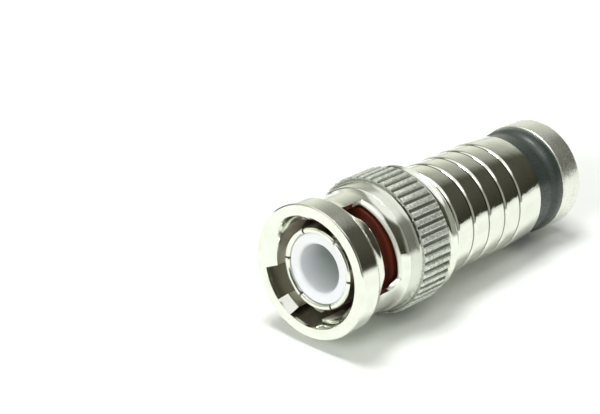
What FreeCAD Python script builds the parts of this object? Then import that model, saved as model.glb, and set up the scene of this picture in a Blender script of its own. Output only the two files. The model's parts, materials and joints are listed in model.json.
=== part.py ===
import FreeCAD, Part
import math
import os

# Cable plug with a bayonet coupling nut, standing on its cable end.
# Lengths are in millimetres and angles in degrees. +Z runs along the axis to the mating end,
# and the origin is the centre of the end ring's rear face.

# Clearances
FIT_GAP = 0.02            # between pieces that are pressed or stacked together
RUN_GAP = 0.05            # between pieces that slide or turn on each other
LOOSE_GAP = 0.25          # round the washers and the gasket inside the nut
EDGE = 0.15               # small bevels

# End ring and compression sleeve
CABLE_BORE_RADIUS = 3.7
CABLE_BORE_LENGTH = 7.5
END_RING_LENGTH = 2.82
END_RING_RISE = 0.45      # above the sleeve
END_RING_EDGE = 0.32      # rounding of the rear outer edge
END_RING_WALL = 0.8       # rear wall, with the sleeve's tail seated in front of it
SLEEVE_SHOWN = 3.84       # the length of sleeve between end ring and body
SLEEVE_WALL = 1.47
SLEEVE_FLANGE = 0.6       # in front of the end ring
SLEEVE_FLANGE_INSET = 0.1
SLEEVE_FLARE = 1.2        # length of the S curve between flange and skirt
SLEEVE_TAIL_WALL = 1.0
SLEEVE_NOSE_LENGTH = 5.1  # how far the sleeve already reaches into the body
SLEEVE_THROAT = 0.2       # how much narrower the sleeve's bore is at its nose
STROKE_SPARE = 0.62

# Ringed body
BODY_WALL = 0.34          # round the sleeve's bore, at the foot of the rings
RING_COUNT = 5
RING_PITCH = 2.475
REAR_RIM_LENGTH = 3.05
RING_RISE = 0.08
RING_NOSE = 0.32          # length of the rounded front of each ring
COLLAR_GAP = 0.42
COLLAR_LENGTH = 1.0
COLLAR_RISE = 0.3
COLLAR_BEVEL = 0.3
COLLAR_GROOVE = 0.2
WEB_LENGTH = 2.0
WEB_GAP = 1.3             # round the support post

# Support post under the cable's braid
POST_BORE_RADIUS = 2.4
POST_WALL = 0.3
POST_FLANGE = 1.0
POST_BARB_RISE = 0.3
POST_BARB_LENGTH = 1.3
POST_SETBACK = 0.7        # from the end of the cable bore to the tip of the post

# Insulators and centre contact
SOCKET_RADIUS = 2.37
SOCKET_DEPTH = 7.2
DIELECTRIC_WALL = 1.11
DIELECTRIC_SETBACK = 0.2  # behind the tip of the outer contact
GUIDE_FLANGE = 2.0
GUIDE_TAIL = 4.8
GUIDE_LIP = 0.4
PIN_RADIUS = 0.675
PIN_POINT = 1.3
PIN_POINT_CURVE = 0.4     # where the point's curve is measured, as a share of its length from the tip
PIN_POINT_SHARE = 0.82    # the point's radius there, as a share of the pin's
PIN_TIP_SHARE = 0.35      # and at the tip
PIN_NOSE_LAND = 1.35      # of the dielectric round the centre contact's nose
PIN_SHANK_RISE = 0.325
PIN_REACH = 6.2           # travel of the centre contact, from drawn back to mated
PIN_TIP_SETBACK = 1.3     # of the mated pin's tip behind the outer contact's tip
PIN_WIRE_RADIUS = 0.55
PIN_WIRE_DEPTH = 4.0

# Outer contact with the neck that the nut turns on
CONTACT_WALL = 0.55
CONTACT_LENGTH = 6.7
CONTACT_BASE_RISE = 0.25  # under the gasket
CONTACT_SLOTS = 6
CONTACT_SLOT_WIDTH = 0.2
CONTACT_SLOT_DEPTH = 3.9
CONTACT_SLOT_ANGLE = 42.0
CONTACT_LIP = 0.14        # bevel of the contact's tip
NECK_RISE = 0.55          # of the neck above the contact
NECK_LAND = 2.2           # neck in front of the retaining ring

# Coupling nut
NUT_OVERHANG = 1.0        # of the nut past the outer contact's tip
NUT_FLANGE = 1.8
NUT_REAR_COLLAR = 1.4
NUT_REAR_RISE = 0.5       # of the rear edge above the barrel
NUT_REAR_HOLLOW = 0.3     # of the collar between rear edge and knurl
BARREL_WALL = 0.45        # outside the lug slots
BARREL_BAND = 0.9         # length of the raised band in front of the knurl
BARREL_BAND_RISE = 0.2
BARREL_BAND_TAPER = 0.18
BARREL_BAND_STEP = 0.08
BARREL_FOOT = 1.35        # length of the hollow curve between the band and the barrel
HOLLOW_SHARE = 0.28       # of a hollow curve's rise, left at its middle
KNURL_WIDTH = 4.13
KNURL_RISE = 0.86         # above the barrel
KNURL_REAR_BEVEL = 0.3
KNURL_FRONT_BEVEL = 0.16
KNURL_COUNT = 48
KNURL_DEPTH = 0.32
KNURL_GROOVE_TOP = 0.44
KNURL_GROOVE_FLOOR = 0.2
FRONT_RING_RISE = 0.65    # above the barrel
FRONT_RING_WIDTH = 2.15
FRONT_RING_EDGE = 0.12
RING_STEP_BEVEL = 0.28
FLARE_LENGTH = 1.35
FLARE_RISE = 0.34
MATE_GAP = 0.85           # ring-shaped gap that takes the mate's barrel
MOUTH_LEAD_IN = 0.9
LUG_SLOT_DEPTH = 0.65
NUT_CAM_DEPTH = 3.85      # from the nut's front face to the cam that holds the lugs

# Bayonet windows and slots; angles run anticlockwise from +X, seen from the mating end
LUG_SLOT_WIDTH = 2.05
WINDOW_START = 63.0
WINDOW_END = -31.0
WINDOW_RAMP = 0.45        # how far the rear edge falls back along the window
WINDOW_BEVEL = 0.24       # of the window's rear edge, outside
MOUTH_RISE = 0.75         # the window is wider where the entry slot meets it
MOUTH_STEP = (0.12, 0.27) # shares of the window, from its start, between which that ends
DETENT_RISE = 0.42        # the window is wider too where the lug comes to rest
DETENT_STEP = (0.06, 0.22)  # shares of the window, from its end, between which that ends
END_ROUND_SPAN = 0.12     # share of the window over which its rear edge rounds off at the end
END_ROUND_SHARE = 0.55    # of the slot's width that the rounding takes
ENTRY_ANGLE = 66.0
NOTCH_ANGLE = 12.5
NOTCH_SPREAD = 34.0
WINDOW_SECTIONS = 20

# Retaining ring, washers and face gasket
RETAINER_THICKNESS = 0.8
RETAINER_RISE = 0.6       # above the neck
RETAINER_GROOVE_DEPTH = 0.3
RETAINER_OPENING = 3.0
WASHER_THICKNESS = 0.3
WAVE_HEIGHT = 1.0
WAVE_THICKNESS = 0.2
WAVE_COUNT = 3
GASKET_THICKNESS = 2.2
GASKET_EDGE = 0.25

# Levels along the axis, from the cable end to the mating end
body_rear_z = END_RING_LENGTH + SLEEVE_SHOWN
sleeve_nose_z = body_rear_z + SLEEVE_NOSE_LENGTH
sleeve_stroke = SLEEVE_SHOWN - SLEEVE_FLANGE - SLEEVE_FLARE
web_rear_z = sleeve_nose_z + sleeve_stroke + STROKE_SPARE
web_front_z = web_rear_z + WEB_LENGTH
contact_rear_z = web_front_z + POST_FLANGE
first_crest_z = body_rear_z + REAR_RIM_LENGTH
collar_rear_z = first_crest_z + (RING_COUNT - 1) * RING_PITCH + COLLAR_GAP
body_front_z = collar_rear_z + COLLAR_LENGTH
nut_rear_z = body_front_z
nut_flange_z = nut_rear_z + NUT_FLANGE
knurl_rear_z = nut_rear_z + NUT_REAR_COLLAR
knurl_front_z = knurl_rear_z + KNURL_WIDTH
wave_rear_z = nut_flange_z + WASHER_THICKNESS
wave_front_z = wave_rear_z + WAVE_HEIGHT
retainer_rear_z = wave_front_z + WASHER_THICKNESS
retainer_front_z = retainer_rear_z + RETAINER_THICKNESS
shoulder_z = retainer_front_z + NECK_LAND
gasket_front_z = shoulder_z + GASKET_THICKNESS
contact_front_z = shoulder_z + CONTACT_LENGTH
nut_front_z = contact_front_z + NUT_OVERHANG
cam_z = nut_front_z - NUT_CAM_DEPTH
flare_front_z = nut_front_z - FRONT_RING_WIDTH - RING_STEP_BEVEL
flare_rear_z = flare_front_z - FLARE_LENGTH
dielectric_front_z = contact_front_z - DIELECTRIC_SETBACK
socket_floor_z = dielectric_front_z - SOCKET_DEPTH
guide_front_z = contact_rear_z + GUIDE_FLANGE
guide_rear_z = contact_rear_z - GUIDE_TAIL
pin_rear_z = guide_rear_z + GUIDE_LIP
pin_tip_z = contact_front_z - PIN_TIP_SETBACK - PIN_REACH
pin_stop_z = socket_floor_z - PIN_NOSE_LAND
pin_shoulder_z = pin_stop_z - PIN_REACH
post_rear_z = CABLE_BORE_LENGTH + POST_SETBACK

# Radii, each from what it fits or rises above
sleeve_radius = CABLE_BORE_RADIUS + SLEEVE_WALL
sleeve_tail_radius = CABLE_BORE_RADIUS + SLEEVE_TAIL_WALL
sleeve_bore_radius = sleeve_radius + RUN_GAP
end_ring_radius = sleeve_radius + END_RING_RISE
ring_base_radius = sleeve_bore_radius + BODY_WALL
ring_crest_radius = ring_base_radius + RING_RISE
collar_radius = ring_base_radius + COLLAR_RISE
post_radius = POST_BORE_RADIUS + POST_WALL
web_bore_radius = post_radius + WEB_GAP
dielectric_radius = SOCKET_RADIUS + DIELECTRIC_WALL
contact_bore_radius = dielectric_radius + FIT_GAP
contact_radius = contact_bore_radius + CONTACT_WALL
contact_base_radius = contact_radius + CONTACT_BASE_RISE
neck_radius = contact_radius + NECK_RISE
body_seat_radius = neck_radius + FIT_GAP
nut_flange_radius = neck_radius + RUN_GAP
washer_bore_radius = neck_radius + RUN_GAP
retainer_floor_radius = neck_radius - RETAINER_GROOVE_DEPTH
retainer_radius = neck_radius + RETAINER_RISE
mouth_bore_radius = contact_radius + MATE_GAP
lug_slot_radius = mouth_bore_radius + LUG_SLOT_DEPTH
washer_radius = lug_slot_radius - LOOSE_GAP
gasket_bore_radius = contact_base_radius + FIT_GAP
barrel_radius = lug_slot_radius + BARREL_WALL
knurl_radius = barrel_radius + KNURL_RISE
knurl_floor_radius = knurl_radius - KNURL_DEPTH
front_ring_radius = barrel_radius + FRONT_RING_RISE
pin_shank_radius = PIN_RADIUS + PIN_SHANK_RISE
pin_shank_hole_radius = pin_shank_radius + RUN_GAP
pin_nose_hole_radius = PIN_RADIUS + RUN_GAP

UP = FreeCAD.Vector(0, 0, 1)
CENTRE = FreeCAD.Vector(0, 0, 0)


def point(radius, level):
    return FreeCAD.Vector(radius, 0, level)


def turned(outline):
    """Revolve a closed outline about the axis.

    Each entry is a (radius, level) corner. A pair of such corners is an arc, which runs from the
    corner before it, through the first, to the second.
    """
    edges = []
    here = outline[0]
    for entry in outline[1:] + outline[:1]:
        if isinstance(entry[0], tuple):
            through, end = entry
            edges.append(Part.Arc(point(*here), point(*through), point(*end)).toShape())
            here = end
        else:
            edges.append(Part.LineSegment(point(*here), point(*entry)).toShape())
            here = entry
    return Part.Face(Part.Wire(edges)).revolve(CENTRE, UP, 360)


def rounded(corner, size, enter, leave):
    """Start of the arc that rounds a corner, and the arc, with the directions of the outline there."""
    inset = size * (1 - math.sqrt(0.5))
    start = (corner[0] - enter[0] * size, corner[1] - enter[1] * size)
    middle = (corner[0] + (leave[0] - enter[0]) * inset, corner[1] + (leave[1] - enter[1]) * inset)
    end = (corner[0] + leave[0] * size, corner[1] + leave[1] * size)
    return [start, (middle, end)]


def s_curve(start, end):
    """Two arcs from start to end, both ends along the axis."""
    middle = ((start[0] + end[0]) / 2, (start[1] + end[1]) / 2)
    rise = middle[0] - start[0]
    run = middle[1] - start[1]
    size = (rise * rise + run * run) / (2 * rise)
    turn = math.atan2(abs(rise), abs(run))
    inset = size * (1 - math.cos(turn))
    reach = math.copysign(size * math.sin(turn), run)
    first = (start[0] + inset, start[1] + reach)
    second = (end[0] - inset, end[1] - reach)
    return [(first, middle), (second, end)]


def tube(inner, outer, low, high):
    return turned([(inner, low), (outer, low), (outer, high), (inner, high)])


def turn(shape, angle):
    copy = shape.copy()
    copy.rotate(CENTRE, UP, angle)
    return copy


def sector(inner, outer, low, high, middle_angle, spread):
    """Part of a ring between two angles."""
    face = Part.Face(radial_frame(middle_angle - spread / 2, inner, outer, low, high))
    return face.revolve(CENTRE, UP, spread)


def radial_frame(angle, inner, outer, low, high):
    """Rectangle in the radial plane at an angle."""
    frame = Part.makePolygon([
        point(inner, low),
        point(outer, low),
        point(outer, high),
        point(inner, high),
        point(inner, low),
    ])
    frame.rotate(CENTRE, UP, angle)
    return frame


def smooth_step(value, start, end):
    """0 at start, 1 at end, and an S between them."""
    share = min(max((value - start) / (end - start), 0.0), 1.0)
    return share * share * (3 - 2 * share)


def end_ring():
    """Cup that drives the sleeve in: its rear wall holds the cable bore."""
    seat_radius = sleeve_tail_radius + FIT_GAP
    return turned([
        (CABLE_BORE_RADIUS + EDGE, 0),
        *rounded((end_ring_radius, 0), END_RING_EDGE, (1, 0), (0, 1)),
        (end_ring_radius, END_RING_LENGTH - EDGE),
        (end_ring_radius - EDGE, END_RING_LENGTH),
        (seat_radius, END_RING_LENGTH),
        (seat_radius, END_RING_WALL),
        (CABLE_BORE_RADIUS, END_RING_WALL),
        (CABLE_BORE_RADIUS, EDGE),
    ])


def compression_sleeve():
    """Plastic sleeve: tail in the end ring, flange, flare, straight skirt and a bevelled nose in the body."""
    flange_radius = end_ring_radius - SLEEVE_FLANGE_INSET
    flange_front_z = END_RING_LENGTH + SLEEVE_FLANGE
    throat_radius = CABLE_BORE_RADIUS - SLEEVE_THROAT
    return turned([
        (CABLE_BORE_RADIUS, END_RING_WALL),
        (sleeve_tail_radius, END_RING_WALL),
        (sleeve_tail_radius, END_RING_LENGTH),
        (flange_radius, END_RING_LENGTH),
        (flange_radius, flange_front_z),
        *s_curve((flange_radius, flange_front_z), (sleeve_radius, flange_front_z + SLEEVE_FLARE)),
        (sleeve_radius, sleeve_nose_z - 2 * EDGE),
        (sleeve_radius - EDGE, sleeve_nose_z),
        (throat_radius + EDGE, sleeve_nose_z),
        (throat_radius, sleeve_nose_z - EDGE),
        (throat_radius, CABLE_BORE_LENGTH),
        (CABLE_BORE_RADIUS, CABLE_BORE_LENGTH),
    ])


def ringed_body():
    """Body with its rings: each swells to a crest and falls in a short rounded front."""
    nose_turn = math.atan2(RING_RISE, RING_NOSE)
    nose_reach = RING_NOSE / 2 / math.cos(nose_turn)
    nose_fall = nose_reach * math.tan(nose_turn / 2)
    outline = [
        (sleeve_bore_radius + EDGE / 2, body_rear_z),
        (ring_base_radius - EDGE / 2, body_rear_z),
        (ring_base_radius, body_rear_z + EDGE / 2),
    ]
    for index in range(RING_COUNT):
        crest_z = first_crest_z + index * RING_PITCH
        outline.append((ring_crest_radius, crest_z - EDGE / 2))
        outline.append((ring_crest_radius, crest_z))
        if index < RING_COUNT - 1:
            nose = (ring_crest_radius - nose_fall, crest_z + nose_reach)
            outline.append((nose, (ring_base_radius, crest_z + RING_NOSE)))
    outline += [
        (ring_base_radius - COLLAR_GROOVE, collar_rear_z - EDGE / 2),
        (ring_base_radius - COLLAR_GROOVE, collar_rear_z + EDGE / 2),
        (collar_radius, collar_rear_z + COLLAR_BEVEL),
        (collar_radius, body_front_z - COLLAR_BEVEL),
        (collar_radius - COLLAR_BEVEL, body_front_z),
        (body_seat_radius, body_front_z),
        (body_seat_radius, web_front_z),
        (web_bore_radius, web_front_z),
        (web_bore_radius, web_rear_z),
        (sleeve_bore_radius, web_rear_z),
        (sleeve_bore_radius, body_rear_z + EDGE / 2),
    ]
    return turned(outline)


def support_post():
    """Thin tube that goes under the braid, with a barb at its tip and a flange held by the body."""
    barb_z = post_rear_z + POST_BARB_LENGTH
    return turned([
        (POST_BORE_RADIUS, post_rear_z),
        (post_radius - POST_WALL / 2, post_rear_z),
        (post_radius + POST_BARB_RISE, barb_z),
        (post_radius, barb_z),
        (post_radius, web_front_z),
        (neck_radius, web_front_z),
        (neck_radius, contact_rear_z),
        (POST_BORE_RADIUS, contact_rear_z),
    ])


def outer_contact():
    """Neck and slotted contact sleeve, turned in one piece."""
    shape = turned([
        (contact_bore_radius, contact_rear_z),
        (neck_radius, contact_rear_z),
        (neck_radius, retainer_rear_z - FIT_GAP),
        (retainer_floor_radius, retainer_rear_z - FIT_GAP),
        (retainer_floor_radius, retainer_front_z + FIT_GAP),
        (neck_radius, retainer_front_z + FIT_GAP),
        (neck_radius, shoulder_z - EDGE),
        (neck_radius - EDGE, shoulder_z),
        (contact_base_radius, shoulder_z),
        (contact_base_radius, gasket_front_z),
        (contact_radius, gasket_front_z),
        (contact_radius, contact_front_z - CONTACT_LIP),
        (contact_radius - CONTACT_LIP, contact_front_z),
        (contact_bore_radius + CONTACT_LIP, contact_front_z),
        (contact_bore_radius, contact_front_z - CONTACT_LIP),
    ])
    slot_corner = FreeCAD.Vector(
        contact_bore_radius - EDGE,
        -CONTACT_SLOT_WIDTH / 2,
        contact_front_z - CONTACT_SLOT_DEPTH,
    )
    slot = Part.makeBox(contact_radius, CONTACT_SLOT_WIDTH, CONTACT_SLOT_DEPTH + EDGE, slot_corner)
    step = 360 / CONTACT_SLOTS
    slots = [turn(slot, CONTACT_SLOT_ANGLE + index * step) for index in range(CONTACT_SLOTS)]
    return shape.cut(Part.makeCompound(slots))


def dielectric():
    """Front insulator: wide socket for the mate's nose, then the two steps the centre contact runs in."""
    return turned([
        (pin_shank_hole_radius, guide_front_z),
        (dielectric_radius - EDGE, guide_front_z),
        (dielectric_radius, guide_front_z + EDGE),
        (dielectric_radius, dielectric_front_z - EDGE),
        (dielectric_radius - EDGE, dielectric_front_z),
        (SOCKET_RADIUS + EDGE, dielectric_front_z),
        (SOCKET_RADIUS, dielectric_front_z - EDGE),
        (SOCKET_RADIUS, socket_floor_z),
        (pin_nose_hole_radius, socket_floor_z),
        (pin_nose_hole_radius, pin_stop_z),
        (pin_shank_hole_radius, pin_stop_z),
    ])


def pin_guide():
    """Rear insulator in the post's bore, with a lip that the centre contact rests on."""
    tail_radius = POST_BORE_RADIUS - FIT_GAP
    return turned([
        (PIN_WIRE_RADIUS, guide_rear_z),
        (tail_radius - EDGE, guide_rear_z),
        (tail_radius, guide_rear_z + EDGE),
        (tail_radius, contact_rear_z),
        (dielectric_radius, contact_rear_z),
        (dielectric_radius, guide_front_z),
        (pin_shank_hole_radius, guide_front_z),
        (pin_shank_hole_radius, pin_rear_z),
        (PIN_WIRE_RADIUS, pin_rear_z),
    ])


def centre_pin():
    """Centre contact: pointed nose, thicker shank and a hole for the wire."""
    point_curve = (PIN_RADIUS * PIN_POINT_SHARE, pin_tip_z - PIN_POINT * PIN_POINT_CURVE)
    return turned([
        (PIN_WIRE_RADIUS, pin_rear_z),
        (pin_shank_radius, pin_rear_z),
        (pin_shank_radius, pin_shoulder_z - EDGE),
        (pin_shank_radius - EDGE, pin_shoulder_z),
        (PIN_RADIUS, pin_shoulder_z),
        (PIN_RADIUS, pin_tip_z - PIN_POINT),
        (point_curve, (PIN_RADIUS * PIN_TIP_SHARE, pin_tip_z)),
        (0, pin_tip_z),
        (0, pin_rear_z + PIN_WIRE_DEPTH),
        (PIN_WIRE_RADIUS, pin_rear_z + PIN_WIRE_DEPTH),
    ])


def nut_blank():
    """Turned form of the nut, before knurl, windows and slots."""
    rear_radius = barrel_radius + NUT_REAR_RISE
    rear_hollow = (rear_radius - NUT_REAR_HOLLOW, (nut_rear_z + EDGE + knurl_rear_z) / 2)
    band_radius = barrel_radius + BARREL_BAND_RISE
    band_front_z = knurl_front_z + BARREL_BAND
    foot_radius = band_radius - BARREL_BAND_STEP
    foot_front_z = band_front_z + BARREL_BAND_STEP + BARREL_FOOT
    foot_rise = (foot_radius - barrel_radius) * HOLLOW_SHARE
    foot_hollow = (barrel_radius + foot_rise, foot_front_z - BARREL_FOOT / 2)
    flare_hollow = (barrel_radius + FLARE_RISE * HOLLOW_SHARE, (flare_rear_z + flare_front_z) / 2)
    return turned([
        (nut_flange_radius + EDGE, nut_rear_z),
        (rear_radius - EDGE, nut_rear_z),
        (rear_radius, nut_rear_z + EDGE),
        (rear_hollow, (rear_radius, knurl_rear_z)),
        (knurl_radius - KNURL_REAR_BEVEL, knurl_rear_z),
        (knurl_radius, knurl_rear_z + KNURL_REAR_BEVEL),
        (knurl_radius, knurl_front_z - KNURL_FRONT_BEVEL),
        (knurl_radius - KNURL_FRONT_BEVEL, knurl_front_z),
        (band_radius + BARREL_BAND_TAPER, knurl_front_z + BARREL_BAND_STEP / 2),
        (band_radius, band_front_z),
        (foot_radius, band_front_z + BARREL_BAND_STEP),
        (foot_hollow, (barrel_radius, foot_front_z)),
        (barrel_radius, flare_rear_z),
        (flare_hollow, (barrel_radius + FLARE_RISE, flare_front_z)),
        (front_ring_radius, nut_front_z - FRONT_RING_WIDTH),
        (front_ring_radius, nut_front_z - FRONT_RING_EDGE),
        (front_ring_radius - FRONT_RING_EDGE, nut_front_z),
        (lug_slot_radius, nut_front_z),
        (mouth_bore_radius, nut_front_z - MOUTH_LEAD_IN),
        (mouth_bore_radius, cam_z),
        (lug_slot_radius, cam_z),
        (lug_slot_radius, nut_flange_z),
        (nut_flange_radius, nut_flange_z),
        (nut_flange_radius, nut_rear_z + EDGE),
    ])


def knurl_grooves():
    """Straight grooves that leave the knurl's flat-topped teeth."""
    floor_half = KNURL_GROOVE_FLOOR / 2
    open_half = KNURL_GROOVE_TOP - floor_half
    open_radius = knurl_radius + KNURL_DEPTH
    profile = Part.makePolygon([
        FreeCAD.Vector(knurl_floor_radius, -floor_half, knurl_rear_z),
        FreeCAD.Vector(open_radius, -open_half, knurl_rear_z),
        FreeCAD.Vector(open_radius, open_half, knurl_rear_z),
        FreeCAD.Vector(knurl_floor_radius, floor_half, knurl_rear_z),
        FreeCAD.Vector(knurl_floor_radius, -floor_half, knurl_rear_z),
    ])
    groove = Part.Face(profile).extrude(FreeCAD.Vector(0, 0, KNURL_WIDTH))
    step = 360 / KNURL_COUNT
    return Part.makeCompound([turn(groove, index * step) for index in range(KNURL_COUNT)])


def window_edges(angle):
    """Rear and front level of the bayonet window at an angle."""
    span = WINDOW_START - WINDOW_END
    along = (WINDOW_START - angle) / span
    rear = cam_z - LUG_SLOT_WIDTH + WINDOW_RAMP / 2 - WINDOW_RAMP * along
    front = cam_z + EDGE
    front += MOUTH_RISE * (1 - smooth_step(along, *MOUTH_STEP))
    front += DETENT_RISE * (1 - smooth_step(1 - along, *DETENT_STEP))
    end_round = 1 - smooth_step(1 - along, 0, END_ROUND_SPAN)
    rear += LUG_SLOT_WIDTH * END_ROUND_SHARE * end_round * end_round
    return rear, front


def bayonet_window():
    """Ramped window through the nut's wall, lofted through radial sections."""
    inner = mouth_bore_radius - LOOSE_GAP
    outer = front_ring_radius + LOOSE_GAP
    bevel_radius = barrel_radius - WINDOW_BEVEL
    frames = []
    for index in range(WINDOW_SECTIONS + 1):
        angle = WINDOW_START + (WINDOW_END - WINDOW_START) * index / WINDOW_SECTIONS
        rear, front = window_edges(angle)
        frame = Part.makePolygon([
            point(inner, rear),
            point(bevel_radius, rear),
            point(outer, rear - (outer - bevel_radius)),
            point(outer, front),
            point(inner, front),
            point(inner, rear),
        ])
        frame.rotate(CENTRE, UP, angle)
        frames.append(frame)
    return Part.makeLoft(frames, True, False)


def coupling_nut():
    """Cast nut: knurl, two windows half a turn apart, and the slots in its mouth."""
    inner = mouth_bore_radius - LOOSE_GAP
    low = cam_z - EDGE
    high = nut_front_z + EDGE
    entry = sector(inner, lug_slot_radius, low, high, ENTRY_ANGLE, NOTCH_SPREAD)
    notch = sector(inner, lug_slot_radius, low, high, NOTCH_ANGLE, NOTCH_SPREAD)
    window = bayonet_window()
    shape = nut_blank().cut(knurl_grooves())
    for angle in (0, 180):
        for cutter in (entry, notch, window):
            shape = shape.cut(turn(cutter, angle))
    return shape


def retaining_ring():
    """C ring, sprung into the neck's groove."""
    ring = tube(retainer_floor_radius + FIT_GAP, retainer_radius, retainer_rear_z, retainer_front_z)
    opening_corner = FreeCAD.Vector(0, -RETAINER_OPENING / 2, retainer_rear_z - EDGE)
    opening = Part.makeBox(retainer_radius, RETAINER_OPENING, RETAINER_THICKNESS + 2 * EDGE, opening_corner)
    return ring.cut(opening)


def flat_washer(low):
    return tube(washer_bore_radius, washer_radius, low, low + WASHER_THICKNESS)


def wave_washer():
    """Spring washer, lofted round through radial sections that rise and fall."""
    inner = washer_bore_radius + RUN_GAP
    outer = washer_radius - RUN_GAP
    middle = wave_rear_z + WAVE_HEIGHT / 2
    swing = (WAVE_HEIGHT - WAVE_THICKNESS) / 2 - FIT_GAP
    count = 12 * WAVE_COUNT
    frames = []
    for index in range(count):
        angle = 360 * index / count
        low = middle + swing * math.cos(math.radians(WAVE_COUNT * angle)) - WAVE_THICKNESS / 2
        frames.append(radial_frame(angle, inner, outer, low, low + WAVE_THICKNESS))
    return Part.makeLoft(frames, True, False, True)


def face_gasket():
    """Soft ring on the neck's shoulder that the mate's front edge seals on."""
    return turned([
        (gasket_bore_radius, shoulder_z),
        (washer_radius - GASKET_EDGE, shoulder_z),
        (washer_radius, shoulder_z + GASKET_EDGE),
        *rounded((washer_radius, gasket_front_z), GASKET_EDGE, (0, 1), (-1, 0)),
        (gasket_bore_radius, gasket_front_z),
    ])


def build():
    nodes = {
        "end_ring": end_ring(),
        "compression_sleeve": compression_sleeve(),
        "ringed_body": ringed_body(),
        "support_post": support_post(),
        "pin_guide": pin_guide(),
        "centre_pin": centre_pin(),
        "dielectric": dielectric(),
        "outer_contact": outer_contact(),
        "rear_washer": flat_washer(nut_flange_z),
        "wave_washer": wave_washer(),
        "front_washer": flat_washer(wave_front_z),
        "retaining_ring": retaining_ring(),
        "face_gasket": face_gasket(),
        "coupling_nut": coupling_nut(),
    }
    os.makedirs("parts", exist_ok=True)
    for name, shape in nodes.items():
        solids = shape.Solids
        print(name, "solids", len(solids), "volume", round(shape.Volume, 3), "valid", shape.isValid())
        Part.makeCompound(solids).exportStep("parts/" + name + ".step")
    print("length", round(nut_front_z, 3), "cam", round(cam_z, 3), "pin tip", round(pin_tip_z, 3))


build()
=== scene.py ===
import json
import math

import bmesh
import bpy
from mathutils import Matrix, Vector


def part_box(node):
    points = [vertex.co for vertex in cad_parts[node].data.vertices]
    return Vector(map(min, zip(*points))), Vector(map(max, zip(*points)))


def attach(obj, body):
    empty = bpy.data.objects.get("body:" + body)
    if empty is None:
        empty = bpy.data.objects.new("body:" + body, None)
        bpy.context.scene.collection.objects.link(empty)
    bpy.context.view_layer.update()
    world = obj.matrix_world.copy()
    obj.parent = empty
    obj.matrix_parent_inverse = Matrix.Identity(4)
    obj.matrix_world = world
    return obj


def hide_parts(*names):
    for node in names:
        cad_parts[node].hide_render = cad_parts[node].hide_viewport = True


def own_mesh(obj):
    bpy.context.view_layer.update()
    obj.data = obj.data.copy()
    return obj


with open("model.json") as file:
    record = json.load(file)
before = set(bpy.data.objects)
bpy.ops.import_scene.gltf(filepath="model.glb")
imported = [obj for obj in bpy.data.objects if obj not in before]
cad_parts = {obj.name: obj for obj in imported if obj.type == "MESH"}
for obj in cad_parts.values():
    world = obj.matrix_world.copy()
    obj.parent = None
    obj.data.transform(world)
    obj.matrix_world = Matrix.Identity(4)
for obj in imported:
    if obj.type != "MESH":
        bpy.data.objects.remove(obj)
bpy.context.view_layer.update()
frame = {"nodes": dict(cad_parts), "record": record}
nodes = frame["nodes"]
scene = bpy.context.scene
scene.view_settings.view_transform = "Standard"

MM = 0.001


def mm(*lengths, past=0.0):
    """Millimetres as metres, counted from a place if one is given."""
    return tuple(past + length * MM for length in lengths)


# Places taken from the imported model, in metres
END_RING_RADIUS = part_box("end_ring")[1].x
NUT_REAR, NUT_FRONT = (corner.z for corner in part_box("coupling_nut"))
DIELECTRIC_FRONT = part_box("dielectric")[1].z
KNURL_RADIUS = 6.86 * MM
KNURL_REAR = NUT_REAR + 1.4 * MM
KNURL_FRONT = NUT_REAR + 5.53 * MM

# The plug lies on the knurl and on the end ring's rear edge
REST_ANGLE = math.radians(-108.2)


def resting_place(radius, level):
    return Vector((radius * math.cos(REST_ANGLE), radius * math.sin(REST_ANGLE), level))


RESTING_ON_KNURL = resting_place(KNURL_RADIUS, KNURL_REAR + 0.36 * MM)
RESTING_ON_END_RING = resting_place(END_RING_RADIUS, 0.32 * MM)
ALONG_FLOOR = (RESTING_ON_KNURL - RESTING_ON_END_RING).normalized()
ACROSS_FLOOR = Vector((math.sin(REST_ANGLE), -math.cos(REST_ANGLE), 0))
FLOOR_NORMAL = ALONG_FLOOR.cross(ACROSS_FLOOR).normalized()
if FLOOR_NORMAL.dot(RESTING_ON_KNURL) > 0:
    FLOOR_NORMAL.negate()

# Camera, at the photograph's place
CAMERA_PLACE = Vector((139.02, 45.76, 171.31)) * MM
CAMERA_LOOK = Vector((-0.69880, -0.19883, -0.68713))
CAMERA_UP = Vector((0, 0.96059, -0.27796))
CAMERA_LENS = 129.6
CAMERA_SENSOR = 36
CAMERA_NEAREST = 0.001
CAMERA_FARTHEST = 20


def add_camera():
    back = -CAMERA_LOOK.normalized()
    right = CAMERA_UP.cross(back).normalized()
    turn = Matrix((right, back.cross(right), back)).transposed()
    data = bpy.data.cameras.new("camera")
    data.lens = CAMERA_LENS
    data.sensor_width = CAMERA_SENSOR
    data.sensor_fit = "HORIZONTAL"
    data.clip_start = CAMERA_NEAREST
    data.clip_end = CAMERA_FARTHEST
    camera = bpy.data.objects.new("camera", data)
    camera.matrix_world = Matrix.Translation(CAMERA_PLACE) @ turn.to_4x4()
    scene.collection.objects.link(camera)
    scene.camera = camera


# Material building blocks
def new_material(name):
    material = bpy.data.materials.new(name)
    material.use_nodes = True
    tree = material.node_tree
    tree.nodes.clear()
    return material, tree


def connect(tree, source, socket):
    """Link a socket to another, or set it to a plain value."""
    if isinstance(source, bpy.types.NodeSocket):
        tree.links.new(source, socket)
    else:
        socket.default_value = source


def math_node(tree, operation, *values):
    """One Math node, or a chain of them where there are more than two values."""
    node = tree.nodes.new("ShaderNodeMath")
    node.operation = operation
    for value, socket in zip(values[:2], node.inputs):
        connect(tree, value, socket)
    if len(values) > 2:
        return math_node(tree, operation, node.outputs[0], *values[2:])
    return node.outputs[0]


def product(tree, *values):
    return math_node(tree, "MULTIPLY", *values)


def total(tree, *values):
    return math_node(tree, "ADD", *values)


def largest(tree, *values):
    return math_node(tree, "MAXIMUM", *values)


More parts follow.
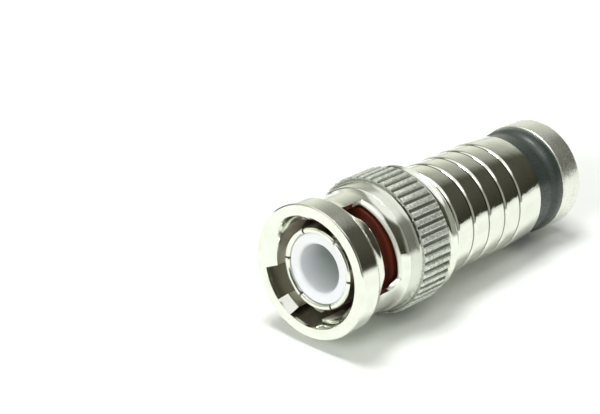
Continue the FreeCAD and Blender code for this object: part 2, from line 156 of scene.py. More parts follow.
def difference(tree, first, second):
    return math_node(tree, "SUBTRACT", first, second)


def object_place(tree, stretch=(1, 1, 1)):
    """Object coordinates in metres, stretched per axis."""
    coordinates = tree.nodes.new("ShaderNodeTexCoord")
    mapping = tree.nodes.new("ShaderNodeMapping")
    mapping.inputs["Scale"].default_value = stretch
    tree.links.new(coordinates.outputs["Object"], mapping.inputs["Vector"])
    return mapping.outputs["Vector"]


def place_parts(tree):
    """Radius from the object's Z axis, and level along it."""
    parts = tree.nodes.new("ShaderNodeSeparateXYZ")
    tree.links.new(object_place(tree), parts.inputs[0])
    squares = [math_node(tree, "POWER", parts.outputs[axis], 2.0) for axis in ("X", "Y")]
    return math_node(tree, "SQRT", total(tree, *squares)), parts.outputs["Z"]


def noise(tree, size, detail=3.0, stretch=(1, 1, 1), roughness=0.55):
    """Noise whose features are about size metres across."""
    node = tree.nodes.new("ShaderNodeTexNoise")
    node.inputs["Scale"].default_value = 1 / size
    node.inputs["Detail"].default_value = detail
    node.inputs["Roughness"].default_value = roughness
    tree.links.new(object_place(tree, stretch), node.inputs["Vector"])
    return node.outputs["Fac"]


def span(tree, value, low, high, to_low=0.0, to_high=1.0, smooth=False):
    """Map a value from one range to another, held at the ends."""
    node = tree.nodes.new("ShaderNodeMapRange")
    node.interpolation_type = "SMOOTHSTEP" if smooth else "LINEAR"
    connect(tree, value, node.inputs["Value"])
    node.inputs["From Min"].default_value = low
    node.inputs["From Max"].default_value = high
    node.inputs["To Min"].default_value = to_low
    node.inputs["To Max"].default_value = to_high
    return node.outputs["Result"]


def blend_colour(tree, share, first, second):
    """Mix of two colours, each a socket or a plain one."""
    node = tree.nodes.new("ShaderNodeMix")
    node.data_type = "RGBA"
    connect(tree, share, node.inputs["Factor"])
    for name, colour in (("A", first), ("B", second)):
        socket = [s for s in node.inputs if s.name == name and s.type == "RGBA"][0]
        plain_colour = not isinstance(colour, bpy.types.NodeSocket)
        connect(tree, (*colour, 1) if plain_colour else colour, socket)
    return [s for s in node.outputs if s.type == "RGBA"][0]


def bump(tree, height, depth):
    """Surface relief, depth in metres."""
    node = tree.nodes.new("ShaderNodeBump")
    node.inputs["Strength"].default_value = 1.0
    node.inputs["Distance"].default_value = depth
    tree.links.new(height, node.inputs["Height"])
    return node.outputs["Normal"]


def finish_surface(tree, colour, roughness, normal, metallic=0.0, specular=0.5):
    surface = tree.nodes.new("ShaderNodeBsdfPrincipled")
    output = tree.nodes.new("ShaderNodeOutputMaterial")
    connect(tree, colour, surface.inputs["Base Color"])
    connect(tree, roughness, surface.inputs["Roughness"])
    connect(tree, metallic, surface.inputs["Metallic"])
    surface.inputs["Specular IOR Level"].default_value = specular
    tree.links.new(normal, surface.inputs["Normal"])
    tree.links.new(surface.outputs[0], output.inputs["Surface"])


def seen_or_mirrored(tree):
    """Light Path node, and 1 for rays from the camera, off gloss or through glass."""
    path = tree.nodes.new("ShaderNodeLightPath")
    kinds = ("Is Camera Ray", "Is Glossy Ray", "Is Transmission Ray")
    return path, largest(tree, *(path.outputs[kind] for kind in kinds))


# Finishes
NICKEL = (0.84, 0.86, 0.775)
NICKEL_DULL = (0.70, 0.69, 0.60)
NICKEL_GRAINY = (0.82, 0.86, 0.775)
NICKEL_WORN = (0.46, 0.49, 0.43)
# Painted shade for the knurl's grooves
NICKEL_SHADED = (0.30, 0.31, 0.26)
NICKEL_MATT = (0.60, 0.615, 0.54)
NICKEL_INSIDE = (0.60, 0.57, 0.48)
# Painted shade, for the body's ring grooves and the floors of the nut's slots
NICKEL_PAINTED_SHADE = (0.20, 0.18, 0.14)
TARNISH_RANGE = (0.45, 0.75)
TARNISH_SHARE = 0.45
ROUND_THE_AXIS = (0.02, 0.02, 1)


def tarnished_nickel(tree, clouds):
    share = product(tree, span(tree, clouds, *TARNISH_RANGE), TARNISH_SHARE)
    return blend_colour(tree, share, NICKEL, NICKEL_DULL)


def nickel_turned(name, smoothest, roughest, line_depth, shaded_below=None, metallic=1.0,
                  waves=0.0):
    """Plated turned metal: lathe lines, clouding, slight tarnish and, if asked, painted shade in
    the grooves below a radius.
    """
    material, tree = new_material(name)
    lines = noise(tree, 0.05 * MM, detail=2.0, stretch=ROUND_THE_AXIS)
    clouds = noise(tree, 1.6 * MM, detail=4.0)
    spots = noise(tree, 0.35 * MM, detail=5.0, roughness=0.7)
    colour = tarnished_nickel(tree, clouds)
    if shaded_below:
        # Painted shade below the given radius, where the grooves are
        groove_shade = span(tree, place_parts(tree)[0], *mm(0.012, -0.012, past=shaded_below))
        colour = blend_colour(tree, groove_shade, colour, NICKEL_PAINTED_SHADE)
    mixed = total(tree, product(tree, clouds, 0.5), product(tree, spots, 0.5))
    roughness = span(tree, mixed, 0.35, 0.65, smoothest, roughest)
    relief = total(tree, lines, product(tree, spots, 0.3), product(tree, clouds, waves))
    finish_surface(tree, colour, roughness, bump(tree, relief, line_depth), metallic)
    return material


# Where the nut's finish and its painted shade change: each pair is the radius, or the level, of
# nothing and of all
KNURL_STARTS = mm(-0.10, 0.10, past=KNURL_REAR)
KNURL_STOPS = mm(0.10, -0.10, past=KNURL_FRONT)
KNURL_FOOT = mm(6.30, 6.45)
KNURL_GROOVE = mm(-0.10, -0.26, past=KNURL_RADIUS)
TOOTH_FRONT = mm(6.56, 6.62)
TOOTH_LENGTH = mm(-0.36, -0.42, past=KNURL_FRONT)
BAND_STARTS = mm(0.02, 0.06, past=KNURL_FRONT)
BAND_STOPS = mm(1.26, 1.34, past=KNURL_FRONT)
BAND_SIDE = mm(6.04, 6.08)
SLOT_DEPTH = mm(-0.34, -0.42, past=NUT_FRONT)
SLOT_OVER = mm(5.44, 5.50)
SLOT_UNDER = mm(5.66, 5.60)
MOUTH_DEPTH = mm(-0.95, -1.1, past=NUT_FRONT)
MOUTH_SIDE = mm(5.10, 5.00)
WINDOW_EDGE_STARTS = mm(28.70, 28.76)
WINDOW_EDGE_STOPS = mm(30.4, 30.5)
WINDOW_EDGE_OVER = mm(5.42, 5.50)
WINDOW_EDGE_UNDER = mm(5.975, 5.94)

# How much rougher, duller and less metallic those places are
TEETH_ROUGHER = 0.24
BAND_ROUGHER = 0.08
INSIDE_ROUGHER = 0.22
WINDOW_EDGE_ROUGHER = 0.26
BAND_DULLER = 0.5
BAND_MATT = 0.35
MATT_LESS_METAL = 0.40
GRIT_HEIGHT = 3.0


def nickel_cast(name):
    """Plated casting: smooth on its barrel, grainy on the knurl, duller inside and in its slots,
    with painted shade in the knurl's grooves and on its slots' floors.
    """
    material, tree = new_material(name)
    radius, level = place_parts(tree)
    clouds = noise(tree, 1.3 * MM, detail=4.0)
    spots = noise(tree, 0.30 * MM, detail=5.0, roughness=0.7)
    grain = noise(tree, 0.10 * MM, detail=3.0)
    grit = noise(tree, 0.22 * MM, detail=2.0, roughness=0.7)

    def at_radius(places):
        return span(tree, radius, *places)

    def at_level(places):
        return span(tree, level, *places)

    knurl = product(tree, at_level(KNURL_STOPS), at_level(KNURL_STARTS), at_radius(KNURL_FOOT))
    # Painted shade in the knurl's grooves
    groove = product(tree, knurl, at_radius(KNURL_GROOVE))
    teeth = largest(tree, at_radius(TOOTH_FRONT), at_level(TOOTH_LENGTH))
    teeth = product(tree, knurl, teeth)
    band = difference(tree, at_level(BAND_STARTS), at_level(BAND_STOPS))
    band = product(tree, band, at_radius(BAND_SIDE))
    # Painted shade on the floors of the bayonet slots
    slot_floor = product(tree, at_radius(SLOT_OVER), at_radius(SLOT_UNDER), at_level(SLOT_DEPTH))
    inside = product(tree, at_radius(MOUTH_SIDE), at_level(MOUTH_DEPTH))
    window_edge = difference(tree, at_level(WINDOW_EDGE_STARTS), at_level(WINDOW_EDGE_STOPS))
    window_edge = product(
        tree, at_radius(WINDOW_EDGE_UNDER), window_edge, at_radius(WINDOW_EDGE_OVER))

    colour = tarnished_nickel(tree, clouds)
    mottled = blend_colour(tree, span(tree, grit, 0.36, 0.64), NICKEL_WORN, NICKEL_GRAINY)
    # Below, the knurl's grooves and the slots' floors get painted shade
    for share, shade in (
        (knurl, mottled),
        (groove, NICKEL_SHADED),
        (product(tree, band, BAND_DULLER), NICKEL_MATT),
        (slot_floor, NICKEL_PAINTED_SHADE),
        (inside, NICKEL_INSIDE),
    ):
        colour = blend_colour(tree, share, colour, shade)

    roughness = total(
        tree,
        span(tree, total(tree, clouds, spots), 0.75, 1.25, 0.06, 0.15),
        total(
            tree,
            product(tree, teeth, TEETH_ROUGHER),
            product(tree, band, BAND_ROUGHER),
            product(tree, total(tree, inside, slot_floor), INSIDE_ROUGHER),
            product(tree, window_edge, WINDOW_EDGE_ROUGHER),
        ),
    )
    rugged = product(tree, total(tree, grain, product(tree, grit, GRIT_HEIGHT)), teeth)
    relief = bump(tree, total(tree, product(tree, spots, 0.4), rugged), 0.006 * MM)
    matt = largest(tree, teeth, product(tree, band, BAND_MATT), window_edge)
    metal = difference(tree, 1.0, product(tree, matt, MATT_LESS_METAL))
    finish_surface(tree, colour, roughness, relief, metal)
    return material


def grained(name, colour, other, smoothest, roughest, grain_size, grain_depth, **surface):
    """Moulded plastic or plain metal with fine grain and faint clouding."""
    material, tree = new_material(name)
    clouds = noise(tree, 2.2 * MM, detail=3.0)
    grain = noise(tree, grain_size * MM, detail=4.0, roughness=0.6)
    mixed = blend_colour(tree, span(tree, clouds, 0.3, 0.7), colour, other)
    roughness = span(tree, grain, 0.3, 0.7, smoothest, roughest)
    finish_surface(tree, mixed, roughness, bump(tree, grain, grain_depth * MM), **surface)
    return material


INSULATOR = (0.86, 0.885, 0.91)
INSULATOR_PALE = (0.89, 0.91, 0.925)
# Painted shade far down the socket's bore
INSULATOR_PAINTED_SHADE = (0.47, 0.52, 0.49)
BORE_DEPTH = mm(-0.6, -4.5, past=DIELECTRIC_FRONT)
BORE_SIDE = mm(2.70, 2.50)


def white_insulator(name):
    """White turned polymer, with painted shade far down its bore: darker and slightly greener
    there.
    """
    material, tree = new_material(name)
    radius, level = place_parts(tree)
    clouds = noise(tree, 2.2 * MM, detail=3.0)
    grain = noise(tree, 0.20 * MM, detail=4.0, roughness=0.6)
    rings = noise(tree, 0.06 * MM, detail=2.0, stretch=ROUND_THE_AXIS)
    colour = blend_colour(tree, span(tree, clouds, 0.3, 0.7), INSULATOR, INSULATOR_PALE)
    # Painted shade: darker and greener with depth down the bore, inside its radius
    bore_shade = product(tree, span(tree, level, *BORE_DEPTH), span(tree, radius, *BORE_SIDE))
    colour = blend_colour(tree, bore_shade, colour, INSULATOR_PAINTED_SHADE)
    roughness = span(tree, grain, 0.3, 0.7, 0.38, 0.50)
    relief = total(tree, grain, product(tree, rings, 0.4))
    finish_surface(tree, colour, roughness, bump(tree, relief, 0.003 * MM))
    return material


# Two shades, least and most roughness, grain size and depth in millimetres
PLASTICS = {
    "black_plastic": ((0.034, 0.045, 0.039), (0.041, 0.052, 0.045), 0.24, 0.34, 0.15, 0.003),
    "guide_plastic": ((0.72, 0.72, 0.67), (0.78, 0.78, 0.74), 0.40, 0.55, 0.20, 0.004),
}
SILICONE = ((0.095, 0.014, 0.006), (0.070, 0.011, 0.005), 0.45, 0.60, 0.12, 0.006)
SILICONE_SPECULAR = 0.12
PLAIN_METALS = {
    "gilt_brass": ((0.86, 0.62, 0.26), (0.78, 0.54, 0.20), 0.16, 0.28, 0.15, 0.001),
    "tinned_brass": ((0.70, 0.67, 0.60), (0.60, 0.57, 0.50), 0.24, 0.38, 0.15, 0.002),
    "spring_steel": ((0.50, 0.49, 0.47), (0.42, 0.41, 0.39), 0.26, 0.42, 0.12, 0.002),
    "washer_steel": ((0.62, 0.61, 0.58), (0.54, 0.53, 0.50), 0.22, 0.36, 0.12, 0.002),
}


def build_finishes():
    finishes = {
        "nickel_nut": nickel_cast("nickel_nut"),
        # Painted shade in the body's grooves, below 5.53 mm
        "nickel_body": nickel_turned(
            "nickel_body", 0.05, 0.11, 0.0008 * MM, shaded_below=5.53 * MM, waves=40.0),
        "nickel_end": nickel_turned("nickel_end", 0.18, 0.32, 0.0030 * MM, metallic=0.88),
        "nickel_contact": nickel_turned("nickel_contact", 0.12, 0.22, 0.002 * MM),
        "white_plastic": white_insulator("white_plastic"),
        "red_silicone": grained("red_silicone", *SILICONE, specular=SILICONE_SPECULAR),
    }
    for name, settings in PLASTICS.items():
        finishes[name] = grained(name, *settings)
    for name, settings in PLAIN_METALS.items():
        finishes[name] = grained(name, *settings, metallic=1.0)
    return finishes


SLOTS = {part["node"]: part["material_slot"] for part in frame["record"]["subparts"]}
BODIES = {
    member: body
    for body, members in frame["record"]["behaviour"]["bodies"].items()
    for member in members
}


def dress_nodes(finishes):
    """Give every carried-over node the finish of its slot."""
    for node_name, slot in SLOTS.items():
        materials = nodes[node_name].data.materials
        materials.clear()
        materials.append(finishes[slot])


def add_stand_in(mesh, node_name, finishes):
    """Show a mesh in a node's place, on the node's body and with its finish."""
    slot = SLOTS[node_name]
    body = BODIES[node_name]
    mesh.materials.append(finishes[slot])
    piece = bpy.data.objects.new(mesh.name, mesh)
    scene.collection.objects.link(piece)
    weights = piece.modifiers.new("weights", "WEIGHTED_NORMAL")
    weights.weight = 100
    weights.keep_sharp = True
    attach(piece, body)
    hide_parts(node_name)
    return piece


# Pieces with eased edges. Their meshes are worked on in millimetres
EDGE_WIDTHS = {
    "coupling_nut": 0.05,
    "compression_sleeve": 0.06,
    "outer_contact": 0.03,
    "face_gasket": 0.05,
    "wave_washer": 0.02,
}
SHARP = math.radians(20)
FLAT = math.radians(0.4)
WELD = 0.0005
SLIVER = 0.001
WINDOW_WELD = 0.09
WINDOW_PAST_KNURL = 2
WINDOW_RADIUS = 6.4
KNURL_REAR_WELD = 0.06
KNURL_REAR_REACH = 0.1

# The knurl's teeth and the band in front of them. Ranges are levels past the teeth's front ends
TOOTH_EDGE_WIDTH = 0.11
TOOTH_DEPTH = 0.2
TOOTH_SHORTEST = 1.0
TOOTH_FOOT = 6.54
TOOTH_LEAN = 0.70
TOOTH_END_RADIUS = 6.45
TOOTH_END_RANGE = (-0.2, 0.02)
BAND_RADIUS = 6.0
BAND_FRONT = 0.98
BAND_FRONT_RANGE = (0.85, 1.0)
BAND_LONGER = 0.45
BAND_SLOPE = 1.35
BAND_SLOPE_LEFT = 0.90
BAND_SLOPE_RANGE = (1.0, 2.3)

# The hooked end of each window's rear edge; angles in degrees
WINDOW_REAR = 28.81
WINDOW_HOOK = 1.12
HOOK_ANGLE = -22.6
HOOK_TURN = 7.6
HOOK_REACH = 8.6
HOOK_CLOSE = 0.2
BARREL_WALL = (5.5, 6.03)
WINDOW_BEVEL_RADIUS = 5.9
WINDOW_BEVEL = 0.25


def place_of(vert):
    return math.hypot(vert.co.x, vert.co.y), vert.co.z


def within(value, limits):
    return limits[0] < value < limits[1]


def shape_nut_band(work):
    """Lengthen the raised band in front of the knurl, and lean the teeth's front ends back."""
    teeth_front = KNURL_FRONT / MM
    for vert in work.verts:
        radius, level = place_of(vert)
        ahead = level - teeth_front
        if radius > TOOTH_END_RADIUS and within(ahead, TOOTH_END_RANGE):
            vert.co.z = teeth_front - (radius - TOOTH_FOOT) * TOOTH_LEAN
        elif radius > BAND_RADIUS and within(ahead, BAND_FRONT_RANGE):
            vert.co.z += BAND_LONGER
        elif radius > BAND_RADIUS and within(ahead, BAND_SLOPE_RANGE):
            along_slope = (ahead - BAND_FRONT) * BAND_SLOPE_LEFT / BAND_SLOPE
            vert.co.z = teeth_front + (BAND_FRONT + BAND_LONGER) + along_slope


def smooth_window_end(work):
    """Draw the hooked ends of both windows' rear edges along one smooth curve."""
    for vert in work.verts:
        radius, level = place_of(vert)
        turn = (HOOK_ANGLE - math.degrees(math.atan2(vert.co.y, vert.co.x))) % 180
        if turn > HOOK_REACH or not within(radius, BARREL_WALL):
            continue
        share = min(turn / HOOK_TURN, 1)
        hook = WINDOW_REAR + WINDOW_HOOK * share * share * (3 - 2 * share)
        if radius < WINDOW_BEVEL_RADIUS:
            hook += WINDOW_BEVEL
        if abs(level - hook) < HOOK_CLOSE:
            vert.co.z = hook


def sharp_edges(work):
    return [e for e in work.edges if e.is_manifold and e.calc_face_angle(0) > SHARP]


def on_tooth(edge):
    """Whether an edge runs along a knurl tooth."""
    (radius_a, level_a), (radius_b, level_b) = (place_of(v) for v in edge.verts)
    outside = min(radius_a, radius_b) > KNURL_RADIUS / MM - TOOTH_DEPTH
    return outside and abs(level_a - level_b) > TOOTH_SHORTEST


def weld(work, verts, distance):
    bmesh.ops.remove_doubles(work, verts=verts, dist=distance)


def ease(work, edges, width, segments):
    bmesh.ops.bevel(
        work, geom=edges, offset=width, offset_type="OFFSET", segments=segments, profile=0.5,
        affect="EDGES", clamp_overlap=True,
    )


def shape_nut(work):
    """Merge points that lie too close to ease between, then shape the window ends and band."""
    near_window = [
        v for v in work.verts
        if v.co.z > KNURL_FRONT / MM + WINDOW_PAST_KNURL and place_of(v)[0] < WINDOW_RADIUS
    ]
    weld(work, near_window, WINDOW_WELD)
    at_knurl_rear = [v for v in work.verts if abs(v.co.z - KNURL_REAR / MM) < KNURL_REAR_REACH]
    weld(work, at_knurl_rear, KNURL_REAR_WELD)
    bmesh.ops.dissolve_degenerate(work, edges=work.edges, dist=SLIVER)
    smooth_window_end(work)
    shape_nut_band(work)
    ease(work, [edge for edge in sharp_edges(work) if on_tooth(edge)], TOOTH_EDGE_WIDTH, 3)


def finished_mesh(work, name):
    for face in work.faces:
        face.smooth = True
    mesh = bpy.data.meshes.new(name)
    work.to_mesh(mesh)
    work.free()
    return mesh


def eased_mesh(node_name, width):
    """A node's own solid, with its sharp edges rounded as on the real piece."""
    work = bmesh.new()
    work.from_mesh(nodes[node_name].data)
    bmesh.ops.scale(work, vec=(1 / MM,) * 3, verts=work.verts)
    weld(work, work.verts, WELD)
    bmesh.ops.dissolve_limit(work, angle_limit=FLAT, verts=work.verts, edges=work.edges)
    if node_name == "coupling_nut":
        shape_nut(work)
    ease(work, sharp_edges(work), width, 2)
    bmesh.ops.scale(work, vec=(MM,) * 3, verts=work.verts)
    return finished_mesh(work, node_name + "_eased")


def ease_pieces(finishes):
    for node_name, width in EDGE_WIDTHS.items():
        piece = add_stand_in(eased_mesh(node_name, width), node_name, finishes)
        if node_name == "wave_washer":
            # The nut's slide presses the spring against the front washer
            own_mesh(piece)


# Turned pieces, from outlines of (radius, level, ease) corners in millimetres
LATHE_SIDES = 240
CORNER_STEPS = 4
CORNER_SHARE = 0.45


def eased_corners(outline):
    """Round each corner of a closed outline."""
    result = []
    for index, (radius, level, ease_width) in enumerate(outline):
        corner = Vector((radius, level))
        if ease_width <= 0:
            result.append(corner)
            continue
        before = Vector(outline[index - 1][:2]) - corner
        after = Vector(outline[(index + 1) % len(outline)][:2]) - corner
        reach = min(ease_width, CORNER_SHARE * before.length, CORNER_SHARE * after.length)
        start = corner + before.normalized() * reach
        end = corner + after.normalized() * reach
        for step in range(CORNER_STEPS + 1):
            share = step / CORNER_STEPS
            result.append(start.lerp(corner, share).lerp(corner.lerp(end, share), share))
    return result


def lathe_mesh(name, outline):
    work = bmesh.new()
    profile = eased_corners(outline)
    rows = []
    for side in range(LATHE_SIDES):
        angle = 2 * math.pi * side / LATHE_SIDES
        rows.append([
            work.verts.new((r * math.cos(angle) * MM, r * math.sin(angle) * MM, z * MM))
            for r, z in profile
        ])
    for side, row in enumerate(rows):
        after = rows[(side + 1) % LATHE_SIDES]
        for index in range(len(profile)):
            beside = (index + 1) % len(profile)
            work.faces.new((row[index], after[index], after[beside], row[beside]))
    bmesh.ops.recalc_face_normals(work, faces=work.faces)
    for edge in work.edges:
        edge.smooth = edge.calc_face_angle(0) < SHARP
    return finished_mesh(work, name)


RINGS = 5
RING_PITCH = 2.475
RING_CREST = 5.64
RING_FOOT = 5.56
RING_GROOVE = ((-0.06, 0.35), (-0.05, 0.50), (0, 0.54))
FIRST_CREST = 3.05
CREST_WIDTH = 0.02
NOSE_RADIUS = 0.50
NOSE_TURN = math.radians(40)
NOSE_STEPS = 6
COLLAR_GAP = 0.42
COLLAR_LENGTH = 1.0
COLLAR_GROOVE = RING_CREST - 0.28
SLEEVE_BORE = 5.25
FRONT_BORE = 4.62
FRONT_WALL = 1.5


def body_outline():
    """Five rings with rounded fronts, a hairline groove at each one's foot, and a collar."""
    low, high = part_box("ringed_body")
    rear = low.z / MM
    collar = high.x / MM
    front = rear + FIRST_CREST + (RINGS - 1) * RING_PITCH + COLLAR_GAP + COLLAR_LENGTH
    outline = [(SLEEVE_BORE, rear, 0), (RING_FOOT, rear, 0.06)]
    for ring in range(RINGS):
        crest = rear + FIRST_CREST + ring * RING_PITCH
        outline.append((RING_CREST, crest - CREST_WIDTH, 0))
        for step in range(1, NOSE_STEPS + 1):
            turn = NOSE_TURN * step / NOSE_STEPS
            radius = RING_CREST - NOSE_RADIUS * (1 - math.cos(turn))
            outline.append((radius, crest + NOSE_RADIUS * math.sin(turn), 0))
        if ring < RINGS - 1:
            outline += [(RING_FOOT + out, crest + along, 0) for out, along in RING_GROOVE]
    return outline + [
        (COLLAR_GROOVE, front - 1.08, 0.05),
        (COLLAR_GROOVE, front - 0.92, 0.05),
        (collar - 0.03, front - 0.72, 0.10),
        (collar - 0.03, front - 0.30, 0.10),
        (collar - 0.30, front, 0.10),
        (FRONT_BORE, front, 0.05),
        (FRONT_BORE, front - FRONT_WALL, 0),
        (SLEEVE_BORE, front - FRONT_WALL, 0),
    ]


CABLE_BORE = 3.70
SLEEVE_SEAT = 4.74
SLEEVE_SEAT_FLOOR = 0.8
FRONT_BEVEL = 0.10


def end_ring_outline():
    """The end ring, with its rear edge well rounded and a narrow bevel in front."""
    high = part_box("end_ring")[1]
    outer = high.x / MM
    front = high.z / MM
    return [
        (CABLE_BORE + 0.10, 0, 0.12),
        (outer, 0, 0.34),
        (outer, front - FRONT_BEVEL, 0.04),
        (outer - FRONT_BEVEL, front, 0.04),
        (SLEEVE_SEAT, front, 0.05),
        (SLEEVE_SEAT, SLEEVE_SEAT_FLOOR, 0),
        (CABLE_BORE, SLEEVE_SEAT_FLOOR, 0),
        (CABLE_BORE, 0.1, 0),
    ]


SOCKET_RADIUS = 2.37
SOCKET_DEPTH = 7.2
PIN_HOLE = 0.725
PIN_HOLE_LENGTH = 1.35
GUIDE_BORE = 1.05


def dielectric_outline():
    """The insulator with the mouth of its socket well rounded."""
    low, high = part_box("dielectric")
    outer = high.x / MM
    rear = low.z / MM
    front = high.z / MM
    floor = front - SOCKET_DEPTH
    return [
        (GUIDE_BORE, rear, 0),
        (outer - 0.15, rear, 0),
        (outer, rear + 0.15, 0),
        (outer, front, 0.15),
        (SOCKET_RADIUS, front, 0.55),
        (SOCKET_RADIUS, floor, 0.10),
        (PIN_HOLE, floor, 0.08),
        (PIN_HOLE, floor - PIN_HOLE_LENGTH, 0),
        (GUIDE_BORE, floor - PIN_HOLE_LENGTH, 0),
    ]


def turn_pieces(finishes):
    for node_name, outline in (
        ("ringed_body", body_outline()),
        ("end_ring", end_ring_outline()),
        ("dielectric", dielectric_outline()),
    ):
        add_stand_in(lathe_mesh(node_name + "_turned", outline), node_name, finishes)


# Stage
def floor_frame():
    """Axes of the room: towards the camera along the floor, to the right, and up."""
    forward = -CAMERA_LOOK - FLOOR_NORMAL * (-CAMERA_LOOK).dot(FLOOR_NORMAL)
    forward.normalize()
    right = FLOOR_NORMAL.cross(forward)
    return Matrix((forward, right, FLOOR_NORMAL)).transposed()


def add_stage_mesh(name, build, material):
    mesh = bpy.data.meshes.new(name)
    work = bmesh.new()
    build(work)
    work.to_mesh(mesh)
    work.free()
    mesh.materials.append(material)
    thing = bpy.data.objects.new(name, mesh)
    thing.matrix_world = Matrix.Translation(RESTING_ON_KNURL) @ floor_frame().to_4x4()
    scene.collection.objects.link(thing)
    return thing


FLOOR_RADIUS = 1.2
FLOOR_SIDES = 96
FLOOR_PALE = (0.92, 0.945, 0.905)
FLOOR_PATCH = (0.89, 0.92, 0.875)
# Painted glow of the floor, rising with distance from the plug: metres from, metres to, least and
# most glow
FLOOR_PAINTED_GLOW = (22 * MM, 75 * MM, 0.02, 0.14)


def floor_material():
    """Pale floor that keeps the shadow, with a painted glow that grows further from the plug, and
    is clear from below.
    """
    material, tree = new_material("pale_floor")
    fibres = noise(tree, 1.2 * MM, detail=4.0)
    patches = noise(tree, 9 * MM, detail=3.0)
    surface = tree.nodes.new("ShaderNodeBsdfDiffuse")
    colour = blend_colour(tree, span(tree, patches, 0.35, 0.7), FLOOR_PALE, FLOOR_PATCH)
    tree.links.new(colour, surface.inputs["Color"])
    tree.links.new(bump(tree, fibres, 0.02 * MM), surface.inputs["Normal"])
    path, seen = seen_or_mirrored(tree)
    glow = tree.nodes.new("ShaderNodeEmission")
    # Painted light: the floor glows more with distance from where the knurl rests, so it stays
    # darker round the plug
    painted_glow = span(tree, place_parts(tree)[0], *FLOOR_PAINTED_GLOW, smooth=True)
    tree.links.new(product(tree, seen, painted_glow), glow.inputs["Strength"])
    together = tree.nodes.new("ShaderNodeAddShader")
    tree.links.new(surface.outputs[0], together.inputs[0])
    tree.links.new(glow.outputs[0], together.inputs[1])
    clear = tree.nodes.new("ShaderNodeBsdfTransparent")
    side = tree.nodes.new("ShaderNodeNewGeometry")
    from_below = product(tree, side.outputs["Backfacing"], path.outputs["Is Camera Ray"])
    choice = tree.nodes.new("ShaderNodeMixShader")
    output = tree.nodes.new("ShaderNodeOutputMaterial")
    tree.links.new(from_below, choice.inputs[0])
    tree.links.new(together.outputs[0], choice.inputs[1])
    tree.links.new(clear.outputs[0], choice.inputs[2])
    tree.links.new(choice.outputs[0], output.inputs["Surface"])
    return material


def add_floor():
    def disc(work):
        bmesh.ops.create_circle(work, cap_ends=True, radius=FLOOR_RADIUS, segments=FLOOR_SIDES)
    add_stage_mesh("floor", disc, floor_material())


# The room that the metal mirrors. Towards the camera, and sideways to the right, run from -1 to 1
ROOM_RADIUS = 0.45
ROOM_FOOT = math.radians(0.6)
ROOM_TOP = math.radians(52)
ROOM_ROWS = 24
ROOM_SIDES = 96
ROOM_DARKEST = (0.036, 0.034, 0.024)
ROOM_DARK = (0.082, 0.079, 0.062)
ROOM_DARK_HEIGHTS = (math.radians(1), math.radians(32))
ROOM_FRONT = (0.34, 0.36, 0.31)
ROOM_FRONT_TOWARDS = (0.25, 0.55)
ROOM_FRONT_SIDEWAYS = (-0.12, 0.16)
ROOM_LEFT = (0.58, 0.61, 0.54)
ROOM_LEFT_SIDEWAYS = (-0.72, -0.90)
ROOM_WHITE = (1.0, 1.0, 1.0)
ROOM_WHITE_HEIGHTS = (math.radians(42), ROOM_TOP)
SWEEP_TOWARDS = (-0.68, -0.92)
SWEEP_NARROWER = (math.radians(2), math.radians(18), 0.12, 0)
SWEEP_FOOT = (0.92, 0.94, 0.88, 1)
SWEEP_TOP = (0.26, 0.26, 0.22, 1)
SWEEP_LEVELS = ((0.20, 0.90), (0.32, 0.80), (0.46, 0.63), (0.60, 0.46), (0.76, 0.33))


def sweep_colour(tree, height):
    """The pale sweep behind the plug, which fades upward."""
    ramp = tree.nodes.new("ShaderNodeValToRGB")
    stops = ramp.color_ramp.elements
    stops[0].position = 0.0
    stops[0].color = SWEEP_FOOT
    stops[1].position = 1.0
    stops[1].color = SWEEP_TOP
    for place, level in SWEEP_LEVELS:
        stops.new(place).color = (level * 0.98, level, level * 0.88, 1)
    tree.links.new(span(tree, height, 0, ROOM_TOP), ramp.inputs["Fac"])
    return ramp.outputs["Color"]


def room_material():
    """Dim room round the floor: dark at the sides, lit at the front right and at the far left,
    with a pale sweep behind, and white at its top."""
    material, tree = new_material("room")
    parts = tree.nodes.new("ShaderNodeSeparateXYZ")
    tree.links.new(object_place(tree, (1 / ROOM_RADIUS,) * 3), parts.inputs[0])
    height = math_node(tree, "ARCSINE", parts.outputs["Z"])
    across = math_node(tree, "COSINE", height)
    towards = math_node(tree, "DIVIDE", parts.outputs["X"], across)
    sideways = math_node(tree, "DIVIDE", parts.outputs["Y"], across)
    in_front = product(
        tree,
        span(tree, towards, *ROOM_FRONT_TOWARDS, smooth=True),
        span(tree, sideways, *ROOM_FRONT_SIDEWAYS, smooth=True),
    )
    at_left = span(tree, sideways, *ROOM_LEFT_SIDEWAYS, smooth=True)
    sweep = total(tree, towards, span(tree, height, *SWEEP_NARROWER))
    behind = span(tree, sweep, *SWEEP_TOWARDS, smooth=True)
    at_top = span(tree, height, *ROOM_WHITE_HEIGHTS, smooth=True)
    colour = blend_colour(
        tree, span(tree, height, *ROOM_DARK_HEIGHTS), ROOM_DARKEST, ROOM_DARK)
    for share, lit in (
        (in_front, ROOM_FRONT),
        (at_left, ROOM_LEFT),
        (behind, sweep_colour(tree, height)),
        (at_top, ROOM_WHITE),
    ):
        colour = blend_colour(tree, share, colour, lit)
    glow = tree.nodes.new("ShaderNodeEmission")
    tree.links.new(colour, glow.inputs["Color"])
    output = tree.nodes.new("ShaderNodeOutputMaterial")
    tree.links.new(glow.outputs[0], output.inputs["Surface"])
    return material


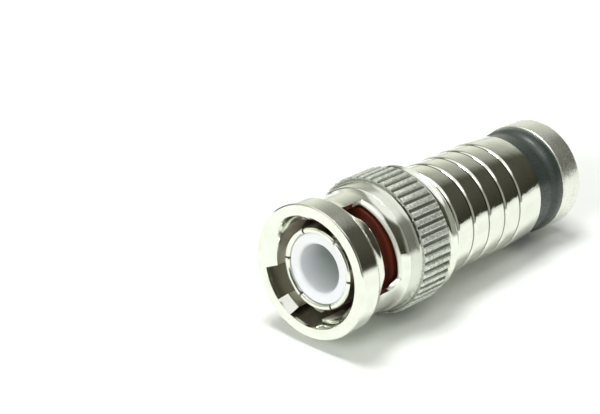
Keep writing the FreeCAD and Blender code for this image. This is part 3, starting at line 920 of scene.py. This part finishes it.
def add_room():
    """The dim room that the metal reflects. It takes no part in lighting the plug."""
    def dome(work):
        rows = []
        for ring in range(ROOM_ROWS + 1):
            height = ROOM_FOOT + (ROOM_TOP - ROOM_FOOT) * ring / ROOM_ROWS
            rows.append([])
            for side in range(ROOM_SIDES):
                angle = 2 * math.pi * side / ROOM_SIDES
                rows[-1].append(work.verts.new((
                    ROOM_RADIUS * math.cos(height) * math.cos(angle),
                    ROOM_RADIUS * math.cos(height) * math.sin(angle),
                    ROOM_RADIUS * math.sin(height),
                )))
        for low, high in zip(rows, rows[1:]):
            for side in range(ROOM_SIDES):
                after = (side + 1) % ROOM_SIDES
                work.faces.new((low[side], low[after], high[after], high[side]))

    room = add_stage_mesh("room", dome, room_material())
    room.visible_camera = False
    room.visible_diffuse = False
    room.visible_shadow = False
    room.visible_transmission = False


WORLD_LIGHT = 0.30


def add_world():
    """Even white light, at full strength only where it is seen or mirrored."""
    world = bpy.data.worlds.new("white_room")
    world.use_nodes = True
    scene.world = world
    tree = world.node_tree
    tree.nodes.clear()
    background = tree.nodes.new("ShaderNodeBackground")
    background.inputs["Color"].default_value = (1, 1, 1, 1)
    seen = seen_or_mirrored(tree)[1]
    tree.links.new(span(tree, seen, 0, 1, WORLD_LIGHT, 1.0), background.inputs["Strength"])
    output = tree.nodes.new("ShaderNodeOutputWorld")
    tree.links.new(background.outputs[0], output.inputs["Surface"])


# Soft square lamps: metres across, watts, place in the room's axes, and whether metal shows them
LAMPS = {
    "top_softbox": (0.12, 0.74, (-0.01, -0.04, 0.33), True),
    "side_softbox": (0.10, 0.11, (0.104, 0.093, 0.30), True),
    "front_softbox": (0.10, 0.36, (0.22, -0.14, 0.15), False),
}


def add_lamps():
    """Aim every lamp at the middle of the nut."""
    middle = Vector((0, 0, (NUT_FRONT + NUT_REAR) / 2))
    for name, (size, energy, offset, in_reflections) in LAMPS.items():
        data = bpy.data.lights.new(name, "AREA")
        data.shape = "SQUARE"
        data.size = size
        data.energy = energy
        lamp = bpy.data.objects.new(name, data)
        lamp.visible_glossy = in_reflections
        scene.collection.objects.link(lamp)
        place = middle + floor_frame() @ Vector(offset)
        aim = (middle - place).to_track_quat("-Z", "Y")
        lamp.matrix_world = Matrix.Translation(place) @ aim.to_matrix().to_4x4()


add_camera()
finishes = build_finishes()
dress_nodes(finishes)
ease_pieces(finishes)
turn_pieces(finishes)
add_floor()
add_room()
add_world()
add_lamps()
